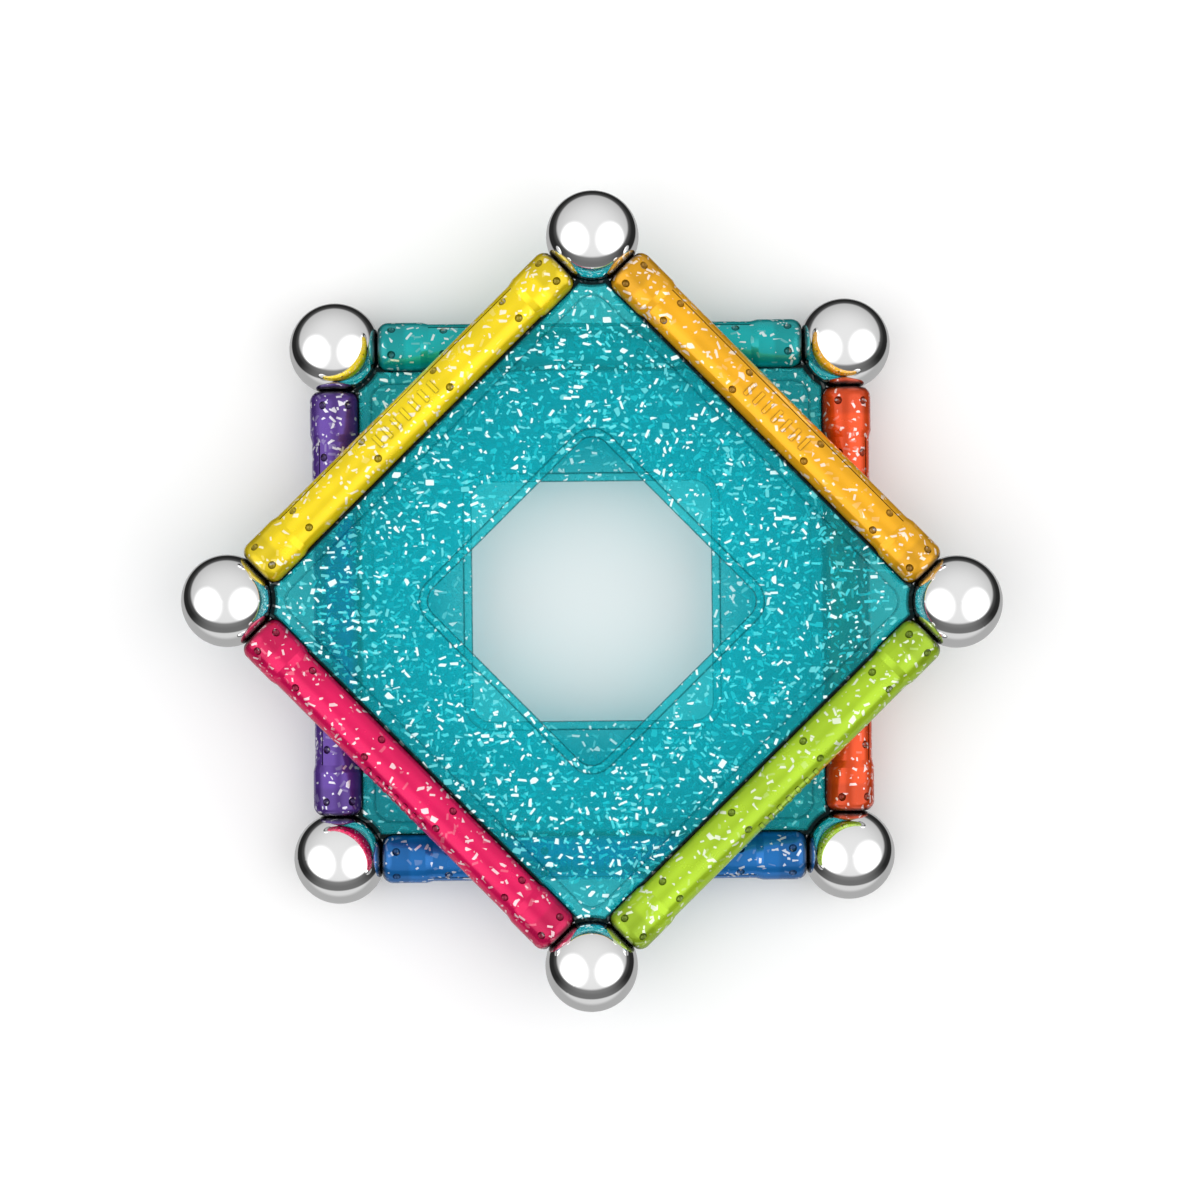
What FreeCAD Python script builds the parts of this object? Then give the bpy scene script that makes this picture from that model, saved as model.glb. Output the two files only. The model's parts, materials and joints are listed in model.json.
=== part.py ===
"""Magnetic desk sculpture: two square frames of magnetic rods and steel balls, one laid across
the other. Each frame has four rods, four balls and a clear panel with a square window.

Frame: millimetres, +Z up, origin on the table under the middle, X and Y along the lower square.
"""

import FreeCAD, Part
import math
import os
import re
import Sketcher

from FreeCAD import Placement, Rotation, Vector

DIMENSIONS = {
    # The squares
    "ball_diameter": 12.7,
    "node_pitch": 70.7,  # between the centres of neighbouring balls
    "stack_gap": 0.05,  # between crossing rods
    "upper_turn": 44.38,  # degrees, how far the upper square is turned on the lower one
    # The casing of a rod, a tube with a collar at each end
    "rod_length": 58.7,
    "shank_diameter": 6.67,
    "collar_diameter": 7.15,
    "collar_length": 6.0,
    "collar_taper": 1.0,
    "nose_length": 1.4,  # the rounded end of the collar
    "nose_radius": 1.6,
    "mouth_diameter": 5.5,  # the flat end face
    "bore_diameter": 4.4,
    # Small round pits in six rings of six
    "pit_sphere": 0.6,
    "pit_depth": 0.4,
    "pit_ring_end": 27.4,  # rings, measured from the middle of the rod
    "pit_ring_shank": 20.2,
    "pit_ring_middle": 6.9,
    # The line where the halves of the mould met
    "seam_depth": 0.09,
    "seam_width_angle": 3.2,
    "seam_angle": 42.5,
    # Raised grip bars in the middle of the shank
    "bar_height": 0.1,
    "bar_root": 0.5,  # from the bore's wall to the hidden foot of a bar
    "bar_width": 0.55,
    "bar_pitch": 1.75,
    "bar_angle": 34.0,
    # Inside the casing
    "core_clearance": 0.05,
    "magnet_length": 3.0,
    "magnet_recess": 0.4,
    "magnet_chamfer": 0.2,
    "core_chamfer": 0.15,
    # The panel
    "panel_thickness": 3.5,
    "panel_edge_inset": 2.65,  # from a rod's axis to the uncut edge
    "web_thickness": 1.6,
    "window_side": 33.3,
    "window_corner": 2.5,
    "window_rim": 1.15,
    "field_side": 60.8,
    "field_corner": 2.4,
    "panel_round": 0.25,
    "shank_clearance": 0.15,
    "collar_clearance": 0.25,
    "mouth_clearance": 0.3,
    "ball_clearance": 0.15,
    # How far each rod has rolled about its own axis, in degrees
    "roll_red": -12.0,
    "roll_teal": -12.5,
    "roll_purple": 2.8,
    "roll_blue": -14.0,
    "roll_orange": -5.0,
    "roll_yellow": -12.5,
    "roll_magenta": -59.5,
    "roll_green": -63.5,
}
BARS = 7  # grip bars in a row
PITS = 6  # pits in a ring
SIDES = 4
# Rods in order round each square, starting from the one on its +X side.
LOWER_RODS = ("red", "teal", "purple", "blue")
UPPER_RODS = ("orange", "yellow", "magenta", "green")

doc = FreeCAD.newDocument("magnetic_desk_sculpture")


def make_sheet():
    """The driving dimensions, one per row, each with its alias."""
    sheet = doc.addObject("Spreadsheet::Sheet", "Dimensions")
    for row, (alias, value) in enumerate(DIMENSIONS.items(), start=1):
        sheet.set(f"A{row}", alias)
        sheet.set(f"B{row}", str(value))
        sheet.setAlias(f"B{row}", alias)
    doc.recompute()
    return sheet


sheet = make_sheet()


def linked(expression):
    """An expression in aliases, written so that any object of the document can read it."""
    return re.sub(r"[a-z]+(_[a-z]+)+", lambda found: "Dimensions." + found.group(), expression)


def value_of(expression):
    return float(sheet.evalExpression(expression))


def origin_part(body, role):
    return next(part for part in body.Origin.OriginFeatures if part.Role == role)


def new_body(name):
    body = doc.addObject("PartDesign::Body", name)
    body.Label = name
    return body


def new_feature(body, kind, name, **links):
    """A PartDesign feature with its properties. A text that isn't a choice is an expression."""
    feature = body.newObject("PartDesign::" + kind, name)
    for key, value in links.items():
        if isinstance(value, str):
            feature.setExpression(key, linked(value))
        else:
            setattr(feature, key, value)
    return feature


def place_on(item, body, role, **offsets):
    """Attaches a sketch or a primitive to one of the body's origin planes."""
    item.AttachmentSupport = [(origin_part(body, role), "")]
    item.MapMode = "FlatFace"
    for axis, expression in offsets.items():
        item.setExpression("AttachmentOffset.Base." + axis, linked(expression))


def new_sketch(body, name, role, turn=None, **offsets):
    """A sketch on an origin plane, turned about its own horizontal axis if turn is given."""
    sketch = body.newObject("Sketcher::SketchObject", name)
    place_on(sketch, body, role, **offsets)
    if turn:
        sketch.AttachmentOffset = Placement(Vector(), Rotation(Vector(1, 0, 0), 1))
        sketch.setExpression("AttachmentOffset.Rotation.Angle", linked(turn))
    return sketch


def fix_point(sketch, edge, corner):
    """Fixes the start of an edge at a corner, which is a pair of expressions."""
    for kind, axis, expression in zip(("DistanceX", "DistanceY"), (-2, -1), corner):
        if expression == "0":
            sketch.addConstraint(Sketcher.Constraint("PointOnObject", edge, 1, axis))
            continue
        length = value_of(expression)
        index = sketch.addConstraint(Sketcher.Constraint(kind, -1, 1, edge, 1, length))
        sketch.setExpression(f"Constraints[{index}]", linked(expression))


def bulging_arc(start, end, radius):
    """The arc from start to end that turns left, so that an outline drawn that way bulges."""
    chord = end - start
    inward = Vector(-chord.y, chord.x, 0).normalize()
    centre = (start + end) / 2 + inward * math.sqrt(radius**2 - (chord.Length / 2) ** 2)
    first, last = (math.atan2(p.y - centre.y, p.x - centre.x) for p in (start, end))
    return Part.ArcOfCircle(Part.Circle(centre, Vector(0, 0, 1), radius), first, last)


def draw_outline(sketch, corners, arcs=None):
    """A closed outline, anticlockwise. arcs gives the radius of each side that is an arc."""
    arcs = arcs or {}
    points = [Vector(value_of(x), value_of(y), 0) for x, y in corners]
    edges = []
    for number, start in enumerate(points):
        end = points[(number + 1) % len(points)]
        if number in arcs:
            shape = bulging_arc(start, end, value_of(arcs[number]))
        else:
            shape = Part.LineSegment(start, end)
        edges.append(sketch.addGeometry(shape, False))
    for number, edge in enumerate(edges):
        following = edges[(number + 1) % len(edges)]
        sketch.addConstraint(Sketcher.Constraint("Coincident", edge, 2, following, 1))
        fix_point(sketch, edge, corners[number])
        if number in arcs:
            radius = Sketcher.Constraint("Radius", edge, value_of(arcs[number]))
            index = sketch.addConstraint(radius)
            sketch.setExpression(f"Constraints[{index}]", linked(arcs[number]))


def draw_rectangle(sketch, left, right, low, high):
    draw_outline(sketch, [(left, low), (right, low), (right, high), (left, high)])


def draw_rounded_square(sketch, side, corner):
    half = f"({side}) / 2"
    inner = f"({side}) / 2 - ({corner})"
    corners = [
        (half, f"-({inner})"),
        (half, inner),
        (inner, half),
        (f"-({inner})", half),
        (f"-{half}", inner),
        (f"-{half}", f"-({inner})"),
        (f"-({inner})", f"-{half}"),
        (inner, f"-{half}"),
    ]
    draw_outline(sketch, corners, {side_number: corner for side_number in (1, 3, 5, 7)})


def spin(body, kind, name, sketch, angle):
    """Turns a sketch about its horizontal axis, half of the angle to each side."""
    axis = (sketch, ["H_Axis"])
    return new_feature(
        body, kind, name, Profile=sketch, ReferenceAxis=axis, Midplane=True, Angle=angle
    )


def repeat_round(body, name, features, role, count):
    """Repeats features evenly round an origin axis."""
    body.Tip = new_feature(
        body,
        "PolarPattern",
        name,
        Originals=features,
        Axis=(origin_part(body, role), [""]),
        Angle=360.0,
        Occurrences=count,
    )
    doc.recompute()


def mirror(body, name, features, role):
    """Repeats features on the other side of an origin plane."""
    plane = (origin_part(body, role), [""])
    body.Tip = new_feature(body, "Mirrored", name, Originals=features, MirrorPlane=plane)
    doc.recompute()


def casing_profile(sketch):
    """Half of the casing's section: the bore below and the shank, taper and collar above."""
    end = "rod_length / 2"
    bore = "bore_diameter / 2"
    shank = "shank_diameter / 2"
    collar = "collar_diameter / 2"
    corners = [
        ("0", bore),
        (end, bore),
        (end, "mouth_diameter / 2"),
        (f"{end} - nose_length", collar),
        (f"{end} - collar_length", collar),
        (f"{end} - collar_length - collar_taper", shank),
        ("0", shank),
    ]
    draw_outline(sketch, corners, {2: "nose_radius"})


def add_pits(body):
    """Round pits, six rings of six, two of each ring beside the top."""
    rings = (
        ("end", "pit_ring_end", "collar_diameter"),
        ("shank", "pit_ring_shank", "shank_diameter"),
        ("middle", "pit_ring_middle", "shank_diameter"),
    )
    pits = []
    for name, place, diameter in rings:
        reach = f"({diameter} / 2 + pit_sphere - pit_depth)"
        for side, sign in (("left", "-"), ("right", "")):
            pit = new_feature(body, "SubtractiveSphere", f"pit_{name}_{side}", Radius="pit_sphere")
            offsets = {"x": sign + place, "y": f"{reach} * sin(30)", "z": f"{reach} * cos(30)"}
            place_on(pit, body, "XY_Plane", **offsets)
            doc.recompute()
            pits.append(pit)
    repeat_round(body, "pits", pits, "X_Axis", PITS)


def add_seams(body):
    """The two fine grooves along the shank where the mould parted."""
    sketch = new_sketch(body, "seam_section", "XZ_Plane", turn="-seam_angle")
    end = "rod_length / 2 - collar_length - collar_taper"
    floor = "shank_diameter / 2 - seam_depth"
    draw_rectangle(sketch, f"-({end})", end, floor, "collar_diameter / 2")
    doc.recompute()
    groove = spin(body, "Groove", "seam", sketch, "seam_width_angle")
    doc.recompute()
    repeat_round(body, "seams", [groove], "X_Axis", 2)


def add_bars(body):
    """Rows of raised grip bars in the middle of the shank, on two opposite sides."""
    sketch = new_sketch(body, "bar_sections", "XZ_Plane")
    for number in range(BARS):
        middle = f"({number - (BARS - 1) / 2}) * bar_pitch"
        left, right = f"{middle} - bar_width / 2", f"{middle} + bar_width / 2"
        foot, top = "bore_diameter / 2 + bar_root", "shank_diameter / 2 + bar_height"
        draw_rectangle(sketch, left, right, foot, top)
    doc.recompute()
    bars = spin(body, "Revolution", "bars", sketch, "bar_angle")
    doc.recompute()
    repeat_round(body, "bar_rows", [bars], "X_Axis", 2)


def make_casing(name):
    """The plastic tube of one rod, along X, open at both ends."""
    body = new_body(name)
    sketch = new_sketch(body, "section", "XY_Plane")
    casing_profile(sketch)
    doc.recompute()
    half = spin(body, "Revolution", "half", sketch, "360")
    doc.recompute()
    mirror(body, "both_halves", [half], "YZ_Plane")
    add_pits(body)
    add_seams(body)
    add_bars(body)
    return body


def make_bar(name, length, start, chamfer):
    """A round bar along X inside the bore, its two ends chamfered."""
    body = new_body(name)
    bar = new_feature(
        body,
        "AdditiveCylinder",
        "bar",
        Radius="bore_diameter / 2 - core_clearance",
        Height=length,
    )
    place_on(bar, body, "YZ_Plane", z=start)
    doc.recompute()
    circles = [f"Edge{n}" for n, edge in enumerate(bar.Shape.Edges, 1) if edge.isClosed()]
    new_feature(body, "Chamfer", "ends", Base=(bar, circles), Size=chamfer)
    doc.recompute()
    return body


def make_core(name):
    inset = "(magnet_recess + magnet_length)"
    length = f"rod_length - 2 * {inset}"
    return make_bar(name, length, f"-(rod_length / 2 - {inset})", "core_chamfer")


def make_magnet(name, side):
    """One of a rod's two magnets, on its -X side (-1) or its +X side (1)."""
    face = "rod_length / 2 - magnet_recess"
    start = f"{face} - magnet_length" if side > 0 else f"-({face})"
    return make_bar(name, "magnet_length", start, "magnet_chamfer")


def make_ball(name):
    body = new_body(name)
    ball = new_feature(body, "AdditiveSphere", "ball", Radius="ball_diameter / 2")
    place_on(ball, body, "XY_Plane")
    doc.recompute()
    return body


def cut_field(body):
    """The thinner field between the panel's rim and the window's rim, on both faces."""
    sketch = new_sketch(body, "field_outline", "XY_Plane", z="panel_thickness / 2")
    draw_rounded_square(sketch, "field_side", "field_corner")
    draw_rounded_square(
        sketch, "window_side + 2 * window_rim", "window_corner + window_rim"
    )
    doc.recompute()
    depth = "(panel_thickness - web_thickness) / 2"
    field = new_feature(body, "Pocket", "field", Profile=sketch, Length=depth)
    doc.recompute()
    mirror(body, "both_fields", [field], "XY_Plane")


def cut_window(body):
    sketch = new_sketch(body, "window_outline", "XY_Plane")
    draw_rounded_square(sketch, "window_side", "window_corner")
    doc.recompute()
    window = new_feature(
        body, "Pocket", "window", Profile=sketch, Length="2 * panel_thickness", Midplane=True
    )
    doc.recompute()
    return window


def round_rims(body, window):
    """Rounds the edges of the field and of the window on both faces."""
    top, reach = value_of("panel_thickness / 2"), value_of("field_side / 2")
    names = []
    for number, edge in enumerate(window.Shape.Edges, 1):
        box = edge.BoundBox
        flat = box.ZLength < 0.001 and abs(abs(box.ZMin) - top) < 0.001
        inside = max(box.XMax, -box.XMin, box.YMax, -box.YMin) < reach + 0.01
        if flat and inside:
            names.append(f"Edge{number}")
    new_feature(body, "Fillet", "rims", Base=(window, names), Radius="panel_round")
    doc.recompute()


def cut_rod_channels(body):
    """The hollow edges that snap over the rods, each a rod's section with some clearance."""
    sketch = new_sketch(body, "channel_section", "XY_Plane", y="node_pitch / 2")
    end = "rod_length / 2"
    shank = "(shank_diameter / 2 + shank_clearance)"
    collar = "(collar_diameter / 2 + collar_clearance)"
    mouth = "(mouth_diameter / 2 + mouth_clearance)"
    nose = f"{end} - nose_length"
    shoulder = f"{end} - collar_length - collar_clearance"
    taper = f"{shoulder} - collar_taper"
    beyond = f"{end} + collar_clearance"
    corners = [
        (f"-({beyond})", "0"),
        (beyond, "0"),
        (beyond, mouth),
        (nose, collar),
        (shoulder, collar),
        (taper, shank),
        (f"-({taper})", shank),
        (f"-({shoulder})", collar),
        (f"-({nose})", collar),
        (f"-({beyond})", mouth),
    ]
    draw_outline(sketch, corners)
    doc.recompute()
    channel = spin(body, "Groove", "channel", sketch, "360")
    doc.recompute()
    repeat_round(body, "channels", [channel], "Z_Axis", SIDES)


def cut_ball_corners(body):
    hollow = new_feature(
        body, "SubtractiveSphere", "ball_hollow", Radius="ball_diameter / 2 + ball_clearance"
    )
    place_on(hollow, body, "XY_Plane", x="node_pitch / 2", y="node_pitch / 2")
    doc.recompute()
    repeat_round(body, "ball_hollows", [hollow], "Z_Axis", SIDES)


def make_panel(name):
    """The clear square panel with its window, which snaps in between four rods."""
    body = new_body(name)
    sketch = new_sketch(body, "outline", "XY_Plane")
    half = "node_pitch / 2 - panel_edge_inset"
    draw_rectangle(sketch, f"-({half})", half, f"-({half})", half)
    doc.recompute()
    new_feature(body, "Pad", "plate", Profile=sketch, Length="panel_thickness", Midplane=True)
    doc.recompute()
    cut_field(body)
    round_rims(body, cut_window(body))
    cut_rod_channels(body)
    cut_ball_corners(body)
    return body


def turned_about_z(angle):
    return Placement(Vector(), Rotation(Vector(0, 0, 1), angle))


def make_rod(colour, square, side):
    """The four pieces of one rod, on one side of a square. Its local Y points outwards."""
    out = Placement(Vector(0, value_of("node_pitch / 2"), 0), Rotation())
    roll = Placement(Vector(), Rotation(Vector(1, 0, 0), value_of("roll_" + colour)))
    where = square * turned_about_z(side * 360 / SIDES - 90) * out * roll
    pieces = [make_casing("casing_" + colour), make_core("core_" + colour)]
    for number, end in enumerate((-1, 1), 1):
        pieces.append(make_magnet(f"magnet_{colour}_{number}", end))
    for piece in pieces:
        piece.Placement = where
    return pieces


def make_square(level, square, colours):
    """A panel with its rods and balls, at the placement of the square."""
    panel = make_panel("panel_" + level)
    panel.Placement = square
    pieces = [panel]
    corner = Placement(Vector(value_of("node_pitch / 2"), value_of("node_pitch / 2"), 0), Rotation())
    for side, colour in enumerate(colours):
        pieces += make_rod(colour, square, side)
        ball = make_ball(f"ball_{level}_{side + 1}")
        ball.Placement = square * turned_about_z(side * 360 / SIDES) * corner
        pieces.append(ball)
    return pieces


def check(pieces):
    """Stops if a feature failed or a piece isn't one sound solid."""
    for item in doc.Objects:
        if "Invalid" in item.State or "Error" in item.State:
            raise RuntimeError(f"{item.Name} ({item.Label}) failed: {item.State}")
    for piece in pieces:
        shape = piece.Shape
        if shape.isNull() or not shape.isValid() or len(shape.Solids) != 1:
            raise RuntimeError(f"{piece.Label} isn't one valid solid")
        print(f"{piece.Label}: {shape.Volume:.1f} mm3, {len(shape.Faces)} faces")


def main():
    """Builds both squares, checks them and writes one file for each piece."""
    low = value_of("ball_diameter / 2")
    lift = value_of("shank_diameter + stack_gap")
    lower = Placement(Vector(0, 0, low), Rotation())
    upper = Placement(Vector(0, 0, low + lift), Rotation()) * turned_about_z(value_of("upper_turn"))
    pieces = make_square("lower", lower, LOWER_RODS)
    pieces += make_square("upper", upper, UPPER_RODS)
    doc.recompute()
    check(pieces)
    os.makedirs("parts", exist_ok=True)
    for piece in pieces:
        piece.Shape.exportStep(f"parts/{piece.Label}.step")


main()
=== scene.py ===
"""Looks of the magnetic sculpture: clear flaked plastics and polished steel on a white table."""

import json
import math

import bpy
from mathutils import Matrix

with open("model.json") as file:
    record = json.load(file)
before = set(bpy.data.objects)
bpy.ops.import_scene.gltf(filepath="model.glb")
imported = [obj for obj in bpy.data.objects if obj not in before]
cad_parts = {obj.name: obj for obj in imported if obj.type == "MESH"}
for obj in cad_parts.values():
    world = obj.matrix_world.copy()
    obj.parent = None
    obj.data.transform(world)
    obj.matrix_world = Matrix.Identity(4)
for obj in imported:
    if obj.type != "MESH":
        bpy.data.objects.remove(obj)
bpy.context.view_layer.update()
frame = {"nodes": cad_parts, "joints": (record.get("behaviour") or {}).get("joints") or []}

JOINTS = {joint["name"]: joint for joint in frame["joints"]}
MM = 0.001

# Body colours of the rods, linear RGB, in the order that seeds their flakes.
CASINGS = {
    "red": (0.80, 0.075, 0.008),
    "teal": (0.000, 0.42, 0.43),
    "purple": (0.105, 0.042, 0.30),
    "blue": (0.006, 0.17, 0.54),
    "orange": (0.96, 0.46, 0.006),
    "yellow": (0.96, 0.72, 0.004),
    "magenta": (0.78, 0.001, 0.105),
    "green": (0.41, 0.64, 0.018),
}
CORE_SHINE = 0.45  # how much of a casing's light comes off the bright steel core in it
ROD_HALF = 29.35 * MM
MAGNET_END = 3.4 * MM  # from the rod's end to the inner end of its magnet
MAGNET_BLUR = 0.8 * MM
MAGNET_TONE = 0.45  # of the casing's colour, over a magnet
MAGNET_MIX = 0.45
# How far the ambient occlusion behind the casing's painted shade looks.
CASING_AO_REACH = 1.4 * MM
PAINTED_PIT_SHADE = 0.02  # how dark the painted shade in a pit, a seam or a gap gets
# The part of the cells that hold a flake, at three depths, and a chip.
CASING_SHARES = {"deep": 0.25, "near": 0.27, "chips": 0.14}
PANEL_SHARES = {"deep": 0.26, "middle": 0.26, "near": 0.20, "chips": 0.10}

PANEL_BODY = (0.001, 0.56, 0.61)
PANEL_TINT = (0.36, 0.945, 0.98)
PANEL_OPACITY = 0.22
FLAKE_OPACITY = 0.95
FLAKE_TONES = {"deep": (0.03, 0.78, 0.88), "middle": (0.22, 0.92, 0.96), "near": (0.82, 0.99, 1.0)}
# Rounded squares of the panel: half a side and the corner's radius.
FIELD = (30.4 * MM, 2.4 * MM)
WINDOW_RIM = (17.8 * MM, 3.65 * MM)
WINDOW = (16.65 * MM, 2.5 * MM)
# Each outline's painted shade line: how dark it is, and where the line starts to fade and ends.
PAINTED_STEP_LINES = ((WINDOW, 0.6), (WINDOW_RIM, 0.6), (FIELD, 0.84))
STEP_LINE_FADE = (0.04 * MM, 0.16 * MM)
# Distances from the panel's middle and from a ball's centre where painted shade darkens the edge.
EDGE_HOLLOW = (31.8 * MM, 32.15 * MM)
BALL_POCKET = (6.95 * MM, 6.6 * MM)
HALF_PITCH = abs(JOINTS["swivel_lower_1"]["pos_m"][0])

# Edges of the thin slabs in the plastic, and the size of the cell that each lies in.
FLAKE = (0.30 * MM, 0.78 * MM, 1.15 * MM)
CHIP = (0.24 * MM, 0.42 * MM, 0.55 * MM)
FLAKE_CELL = 1.05 * MM
CHIP_CELL = 0.68 * MM

BOX_LIGHT = 1.8
BOX_TOWARD = (0.735, -0.15, 0.661)  # and its mirror image on the -X side
BOX_EDGE = (45.0, 20.0)  # degrees from its middle where it starts, and where it is full
BACKDROP = 0.9  # what the camera sees of the room
DOME_LEAN = 31.5  # degrees, towards +Y

TABLE_HALF = 4.0
TABLE_TONES = ((0.925, 0.925, 0.925), (0.935, 0.935, 0.935))

CAMERA_LENS = 113.34
CAMERA_SENSOR = 36.0
CAMERA_PLACE = (1.1 * MM, 0.14 * MM, 531.4 * MM)
CAMERA_TURN = -0.57  # degrees about the vertical


# ---------------------------------------------------------------- node helpers


class Tree:
    """Short ways to add nodes to a material's or a world's node tree."""

    def __init__(self, owner):
        owner.use_nodes = True
        self.nodes = owner.node_tree.nodes
        self.links = owner.node_tree.links
        self.nodes.clear()

    def feed(self, socket, value):
        """Links a socket to another, or sets it."""
        if isinstance(value, bpy.types.NodeSocket):
            self.links.new(value, socket)
        else:
            socket.default_value = value

    def add(self, kind, inputs=None, **settings):
        node = self.nodes.new("ShaderNode" + kind)
        for key, value in settings.items():
            setattr(node, key, value)
        for key, value in (inputs or {}).items():
            self.feed(node.inputs[key], value)
        return node

    def math(self, operation, *values):
        node = self.add("Math", operation=operation)
        for socket, value in zip(node.inputs, values):
            self.feed(socket, value)
        return node.outputs[0]

    def vector(self, operation, *values):
        node = self.add("VectorMath", operation=operation)
        for socket, value in zip(node.inputs, values):
            self.feed(socket, value)
        return node.outputs["Value" if operation in ("DOT_PRODUCT", "LENGTH") else "Vector"]

    def ramp(self, value, low, high, to_low=0.0, to_high=1.0):
        """A smooth step of value from low to high."""
        node = self.add("MapRange", interpolation_type="SMOOTHSTEP")
        for socket, given in zip(node.inputs, (value, low, high, to_low, to_high)):
            self.feed(socket, given)
        return node.outputs[0]

    def blend(self, factor, first, second):
        """One number mixed into another."""
        node = self.add("Mix", data_type="FLOAT")
        for number, value in ((0, factor), (2, first), (3, second)):
            self.feed(node.inputs[number], value)
        return node.outputs[0]

    def mix(self, factor, first, second):
        """One colour mixed into another; a plain colour is an RGB tuple."""
        node = self.add("Mix", data_type="RGBA")
        for number, value in ((0, factor), (6, first), (7, second)):
            self.feed(node.inputs[number], (*value, 1.0) if isinstance(value, tuple) else value)
        return node.outputs[2]

    def noise(self, place, scale, detail=3.0, roughness=0.5):
        inputs = {"Vector": place, "Scale": scale, "Detail": detail, "Roughness": roughness}
        return self.add("TexNoise", inputs).outputs[0]

    def blotches(self, place, scale, detail=2.0):
        """Noise stretched to run from 0 to 1."""
        return self.ramp(self.noise(place, scale, detail), 0.3, 0.7)

    def shaded(self, colour, factor):
        """The colour times a grey factor."""
        grey = self.add("CombineXYZ", {0: factor, 1: factor, 2: factor}).outputs[0]
        return self.vector("MULTIPLY", colour, grey)

    def bump(self, height, strength, distance):
        inputs = {"Height": height, "Strength": strength, "Distance": distance}
        return self.add("Bump", inputs).outputs[0]

    def finish(self, shader, kind="OutputMaterial"):
        self.links.new(shader.outputs[0], self.add(kind).inputs["Surface"])


def scaled(colour, factor):
    return tuple(value * factor for value in colour)


def paled(colour, share):
    """A colour moved towards white."""
    return tuple(share + (1.0 - share) * value for value in colour)


def new_material(name):
    """A material, its tree and the place of a surface point on the resting object."""
    material = bpy.data.materials.new(name)
    tree = Tree(material)
    return material, tree, tree.add("TexCoord").outputs["Object"]


# ------------------------------------------------------------------ materials


def flakes(tree, place, seed, cell, size, share):
    """How much of a surface point lies in a flake: one randomly turned thin slab in each cell.

    size holds the slab's three edges; share is the part of the cells that hold a flake, more in
    some patches than in others."""
    shifted = tree.vector("ADD", place, (seed * 0.137, seed * 0.071, seed * 0.193))
    cells = tree.add("TexVoronoi", {"Vector": shifted, "Scale": 1.0 / cell}, feature="F1")
    local = tree.vector("SUBTRACT", shifted, cells.outputs["Position"])
    turn = tree.vector("MULTIPLY", cells.outputs["Color"], (9.0, 17.0, 13.0))
    inputs = {"Vector": local, "Rotation": turn}
    turned = tree.add("VectorRotate", inputs, rotation_type="EULER_XYZ").outputs[0]
    reach = tree.add("SeparateXYZ", {"Vector": tree.vector("ABSOLUTE", turned)})
    inside = [tree.math("SUBTRACT", edge / 2, reach.outputs[n]) for n, edge in enumerate(size)]
    depth = tree.math("MINIMUM", tree.math("MINIMUM", inside[0], inside[1]), inside[2])
    mask = tree.ramp(depth, -0.02 * MM, 0.03 * MM)
    draw = tree.add("SeparateColor", {"Color": cells.outputs["Color"]}).outputs[1]
    patches = tree.ramp(tree.noise(cells.outputs["Position"], 220.0, 2.0), 0.35, 0.65, 0.5, 1.5)
    held = tree.math("LESS_THAN", draw, tree.math("MULTIPLY", patches, share))
    return tree.math("MULTIPLY", mask, held)


def plastic(tree, place, colour, metallic=0.0):
    """Polished moulded plastic: a clear gloss over the colour, faintly smeared and uneven."""
    smears = tree.noise(place, 260.0, 4.0, 0.6)
    inputs = {
        "Base Color": colour,
        "Metallic": metallic,
        "Roughness": tree.ramp(smears, 0.35, 0.75, 0.16, 0.30),
        "IOR": 1.4,
        "Coat Weight": 0.2,
        "Coat Roughness": 0.04,
        "Normal": tree.bump(tree.noise(place, 420.0, 2.0), 0.06, 0.05 * MM),
    }
    return tree.add("BsdfPrincipled", inputs)


def painted_hollow_shade(tree, reach, darkest):
    """Painted shade from ambient occlusion: 1 on open surface, down to darkest in pits, seams and
    the gaps between pieces.
    """
    open_sky = tree.add("AmbientOcclusion", {"Distance": reach}, samples=4).outputs["AO"]
    return tree.ramp(open_sky, 0.62, 0.90, darkest, 1.0)


def casing_material(name, colour, seed):
    """Clear coloured plastic full of pale flakes, darker where the magnets are inside."""
    material, tree, place = new_material("casing_" + name)
    body = tree.mix(tree.blotches(place, 130.0), scaled(colour, 0.86), colour)
    joint = JOINTS["roll_" + name]
    from_middle = tree.vector("SUBTRACT", place, tuple(joint["pos_m"]))
    along = tree.math("ABSOLUTE", tree.vector("DOT_PRODUCT", from_middle, tuple(joint["axis"])))
    magnet = ROD_HALF - MAGNET_END
    at_magnet = tree.ramp(along, magnet - MAGNET_BLUR, magnet, 0.0, MAGNET_MIX)
    body = tree.mix(at_magnet, body, scaled(colour, MAGNET_TONE))
    deep = flakes(tree, place, seed + 0.5, FLAKE_CELL, FLAKE, CASING_SHARES["deep"])
    near = flakes(tree, place, seed, FLAKE_CELL, FLAKE, CASING_SHARES["near"])
    chips = flakes(tree, place, seed + 0.3, CHIP_CELL, CHIP, CASING_SHARES["chips"])
    body = tree.mix(tree.math("MULTIPLY", deep, 0.5), body, paled(colour, 0.2))
    body = tree.mix(tree.math("MAXIMUM", near, chips), body, paled(colour, 0.62))
    # Painted shade: the casing's colour darkened in its pits, seams and the gaps beside the
    # panels.
    body = tree.shaded(body, painted_hollow_shade(tree, CASING_AO_REACH, PAINTED_PIT_SHADE))
    tree.finish(plastic(tree, place, body, CORE_SHINE))
    return material


def beyond(tree, reach, half, corner):
    """How far a point is beyond the outline of a rounded square, given its side and corner."""
    inner = (half - corner, half - corner, 0.0)
    past = tree.vector("MAXIMUM", tree.vector("SUBTRACT", reach, inner), (0.0, 0.0, 0.0))
    return tree.math("SUBTRACT", tree.vector("LENGTH", past), corner)


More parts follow.
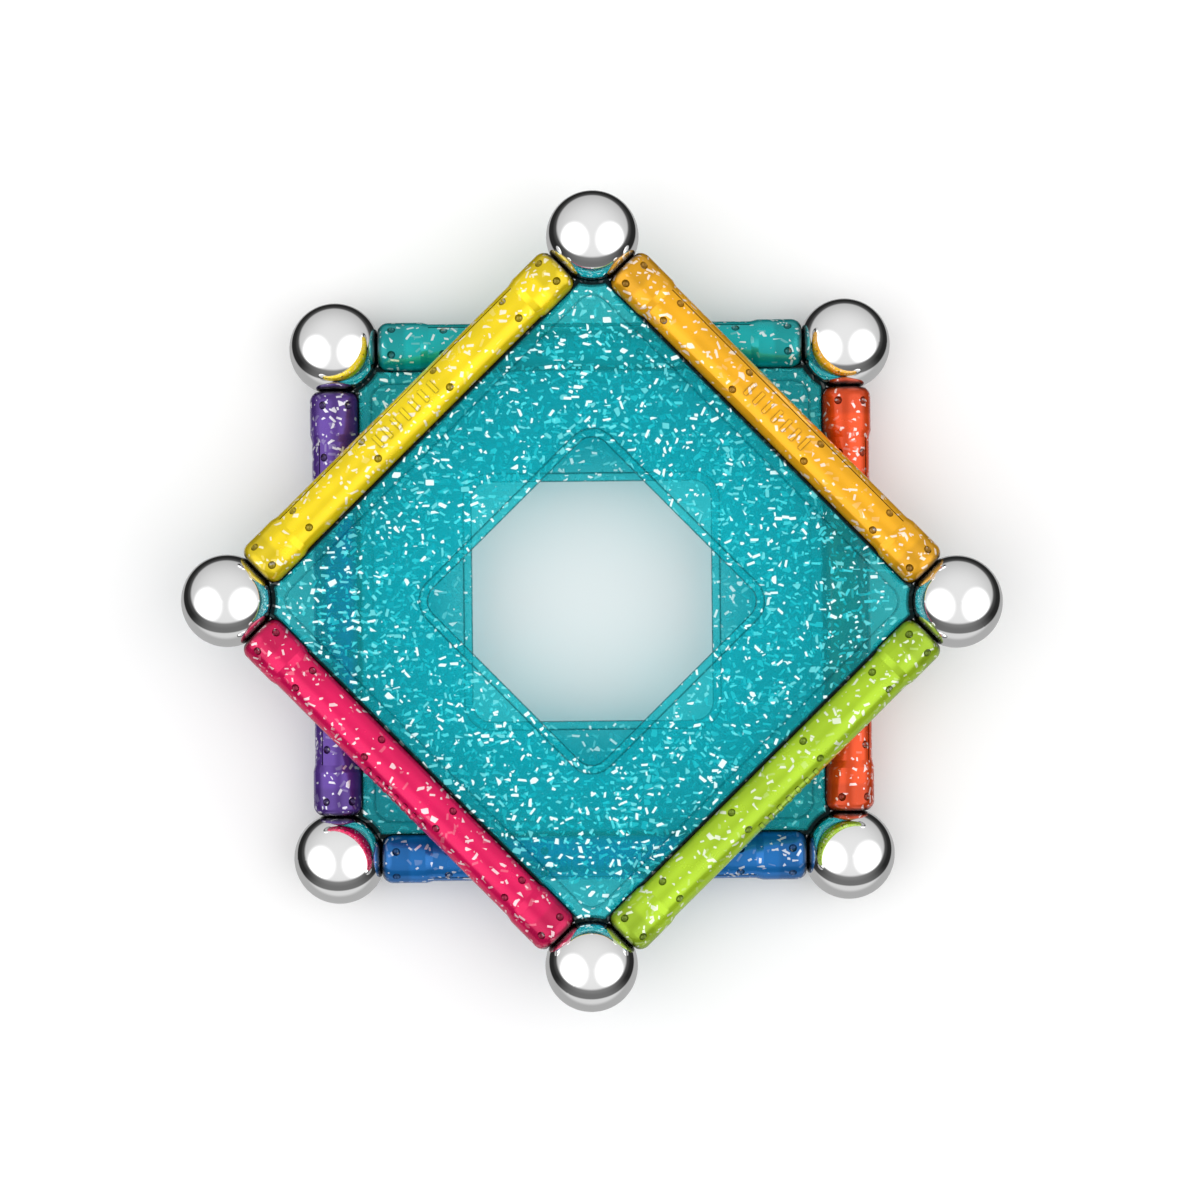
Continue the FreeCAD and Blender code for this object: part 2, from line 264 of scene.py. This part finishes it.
def painted_edge_shade(tree, reach):
    """Painted shade: 1 over the panel, down to dark lines painted in its hollow edges, ball
    pockets and moulded steps.
    """
    edge = tree.vector("SUBTRACT", reach, (HALF_PITCH, HALF_PITCH, 0.0))
    sides = tree.add("SeparateXYZ", {"Vector": reach}).outputs
    beside_rod = tree.ramp(tree.math("MAXIMUM", sides[0], sides[1]), *EDGE_HOLLOW)
    beside_ball = tree.ramp(tree.vector("LENGTH", edge), *BALL_POCKET)
    light = tree.ramp(tree.math("MAXIMUM", beside_rod, beside_ball), 0.0, 1.0, 1.0, 0.05)
    # Painted shade lines along the moulded steps.
    for outline, darkness in PAINTED_STEP_LINES:
        away = tree.math("ABSOLUTE", beyond(tree, reach, *outline))
        line = tree.ramp(away, *STEP_LINE_FADE, darkness, 1.0)
        light = tree.math("MULTIPLY", light, line)
    return light


def panel_material(name, turn, seed):
    """Clear teal plastic, deeper where the panel is thick, with flakes at three depths."""
    material, tree, place = new_material(name)
    inputs = {"Vector": place, "Angle": -turn}
    own = tree.add("VectorRotate", inputs, rotation_type="Z_AXIS").outputs[0]
    reach = tree.vector("MULTIPLY", tree.vector("ABSOLUTE", own), (1.0, 1.0, 0.0))
    past_window = tree.ramp(beyond(tree, reach, *WINDOW_RIM), -0.05 * MM, 0.05 * MM)
    before_rim = tree.ramp(beyond(tree, reach, *FIELD), 0.05 * MM, -0.05 * MM)
    thin = tree.math("MULTIPLY", past_window, before_rim)
    near = flakes(tree, place, seed, FLAKE_CELL, FLAKE, PANEL_SHARES["near"])
    chips = flakes(tree, place, seed + 0.2, CHIP_CELL, CHIP, PANEL_SHARES["chips"])
    near = tree.math("MAXIMUM", near, chips)
    middle = flakes(tree, place, seed + 0.4, FLAKE_CELL, FLAKE, PANEL_SHARES["middle"])
    deep = flakes(tree, place, seed + 0.8, FLAKE_CELL, FLAKE, PANEL_SHARES["deep"])
    cloud = tree.math("MULTIPLY", tree.blotches(place, 60.0), 0.5)
    body = tree.mix(cloud, PANEL_BODY, scaled(PANEL_BODY, 0.86))
    body = tree.mix(tree.math("MULTIPLY", deep, 0.5), body, FLAKE_TONES["deep"])
    body = tree.mix(tree.math("MULTIPLY", middle, 0.8), body, FLAKE_TONES["middle"])
    body = tree.mix(near, body, FLAKE_TONES["near"])
    # Painted shade over both the panel's colour and its see-through tint.
    light = painted_edge_shade(tree, reach)
    surface = plastic(tree, place, tree.shaded(body, light))
    tint = tree.mix(thin, scaled(PANEL_TINT, 0.98), PANEL_TINT)
    clear = tree.add("BsdfTransparent", {"Color": tree.shaded(tint, light)})
    filled = tree.math("MAXIMUM", near, tree.math("MULTIPLY", middle, 0.55))
    filled = tree.math("MAXIMUM", filled, tree.math("MULTIPLY", deep, 0.25))
    opacity = tree.blend(filled, PANEL_OPACITY, FLAKE_OPACITY)
    tree.finish(tree.add("MixShader", {0: opacity, 1: clear.outputs[0], 2: surface.outputs[0]}))
    return material


def ball_material():
    """Polished nickel-plated steel with the faintest handling haze."""
    material, tree, place = new_material("ball_steel")
    smudges = tree.noise(place, 240.0, 5.0, 0.65)
    inputs = {
        "Base Color": tree.mix(tree.blotches(place, 90.0), (0.90, 0.90, 0.90), (0.94, 0.94, 0.94)),
        "Metallic": 1.0,
        "Roughness": tree.ramp(smudges, 0.45, 0.8, 0.02, 0.07),
        "Normal": tree.bump(tree.noise(place, 2600.0, 2.0), 0.02, 0.01 * MM),
    }
    tree.finish(tree.add("BsdfPrincipled", inputs))
    return material


def bar_material(name, tone, roughness):
    """The metal of a core or a magnet, with fine marks."""
    material, tree, place = new_material(name)
    marks = tree.blotches(place, 900.0, 3.0)
    inputs = {
        "Base Color": tree.mix(marks, tone, scaled(tone, 0.8)),
        "Metallic": 1.0,
        "Roughness": tree.math("MULTIPLY_ADD", marks, 0.15, roughness),
        "Normal": tree.bump(marks, 0.1, 0.02 * MM),
    }
    tree.finish(tree.add("BsdfPrincipled", inputs))
    return material


def dress(node, material):
    """Gives a CAD node its material."""
    for slot in frame["nodes"][node].material_slots:
        slot.link = "OBJECT"
        slot.material = material


def dress_rods():
    """Each rod's casing in its colour, over a steel core and plated magnets."""
    core = bar_material("core_steel", (0.56, 0.56, 0.57), 0.25)
    magnet = bar_material("magnet_nickel", (0.72, 0.70, 0.66), 0.12)
    for seed, (name, colour) in enumerate(CASINGS.items(), 1):
        dress("casing_" + name, casing_material(name, colour, seed))
        dress("core_" + name, core)
        dress(f"magnet_{name}_1", magnet)
        dress(f"magnet_{name}_2", magnet)


def dress_squares():
    """The panels, each turned as its square is, and the balls."""
    steel = ball_material()
    first_side = JOINTS["roll_orange"]["pos_m"]
    upper_turn = math.atan2(first_side[1], first_side[0])
    for seed, (level, turn) in enumerate((("lower", 0.0), ("upper", upper_turn)), 11):
        dress("panel_" + level, panel_material("panel_" + level, turn, seed))
        for number in range(1, 5):
            dress(f"ball_{level}_{number}", steel)


# ------------------------------------------------------- table, light, camera


def make_table():
    """A plain white table top, which the polished balls don't mirror."""
    half = TABLE_HALF
    corners = [(-half, -half, 0), (half, -half, 0), (half, half, 0), (-half, half, 0)]
    mesh = bpy.data.meshes.new("table")
    mesh.from_pydata(corners, [], [(0, 1, 2, 3)])
    table = bpy.data.objects.new("table", mesh)
    bpy.context.scene.collection.objects.link(table)
    material, tree, place = new_material("table_white")
    grain = tree.mix(tree.blotches(place, 25.0), *TABLE_TONES)
    tree.finish(tree.add("BsdfDiffuse", {"Color": grain}))
    mesh.materials.append(material)
    table.visible_glossy = False


def cosine(degrees):
    return math.cos(math.radians(degrees))


def room_tone(tree, toward):
    """The room's grey in a direction: a dome, a dark band under it and a pale ground below that.

    The dome leans towards +Y. Returns how much of the dome is there too."""
    lean = math.radians(DOME_LEAN)
    parts = tree.add("SeparateXYZ", {"Vector": toward}).outputs
    height = tree.vector("DOT_PRODUCT", toward, (0.0, math.sin(lean), math.cos(lean)))
    level = tree.math("MULTIPLY_ADD", tree.math("POWER", parts[0], 2.0), 0.083, height)
    front = tree.math("MULTIPLY", parts[1], -1.0)
    dome = tree.ramp(level, -0.06, 0.09)
    dome_tone = tree.ramp(parts[2], -1.0, 1.0, 0.46, 0.86)
    tail = tree.ramp(level, -0.28, -0.02, 0.0, 0.06)
    band_tone = tree.math("ADD", tree.ramp(front, 0.3, 0.95, 0.022, 0.17), tail)
    ground = tree.ramp(tree.math("MULTIPLY_ADD", front, -0.05, level), -0.50, -0.58)
    ground_tone = tree.ramp(parts[2], -0.45, -0.18, 0.44, 0.72)
    above = tree.blend(dome, band_tone, dome_tone)
    return tree.blend(ground, above, ground_tone), dome


def make_studio():
    """The room and its two round soft boxes light the scene; the camera sees a pale backdrop."""
    world = bpy.data.worlds.new("studio")
    bpy.context.scene.world = world
    tree = Tree(world)
    toward = tree.add("TexCoord").outputs["Generated"]
    tone, dome = room_tone(tree, toward)
    for side in (-1, 1):
        box = (side * BOX_TOWARD[0], *BOX_TOWARD[1:])
        near = tree.vector("DOT_PRODUCT", toward, box)
        disc = tree.ramp(near, cosine(BOX_EDGE[0]), cosine(BOX_EDGE[1]))
        tone = tree.blend(tree.math("MULTIPLY", disc, dome), tone, BOX_LIGHT)
    seen = tree.add("LightPath").outputs["Is Camera Ray"]
    tone = tree.blend(seen, tone, BACKDROP)
    grey = tree.add("CombineColor", {0: tone, 1: tone, 2: tone}).outputs[0]
    tree.finish(tree.add("Background", {"Color": grey, "Strength": 1.0}), "OutputWorld")


def make_camera():
    """Straight above the object, a long lens, the lower square turned a little in the picture."""
    data = bpy.data.cameras.new("camera")
    data.lens = CAMERA_LENS
    data.sensor_width = CAMERA_SENSOR
    camera = bpy.data.objects.new("camera", data)
    camera.location = CAMERA_PLACE
    camera.rotation_euler = (0.0, 0.0, math.radians(CAMERA_TURN))
    bpy.context.scene.collection.objects.link(camera)
    bpy.context.scene.camera = camera


make_camera()
make_studio()
make_table()
dress_rods()
dress_squares()
bpy.context.scene.view_settings.view_transform = "Standard"
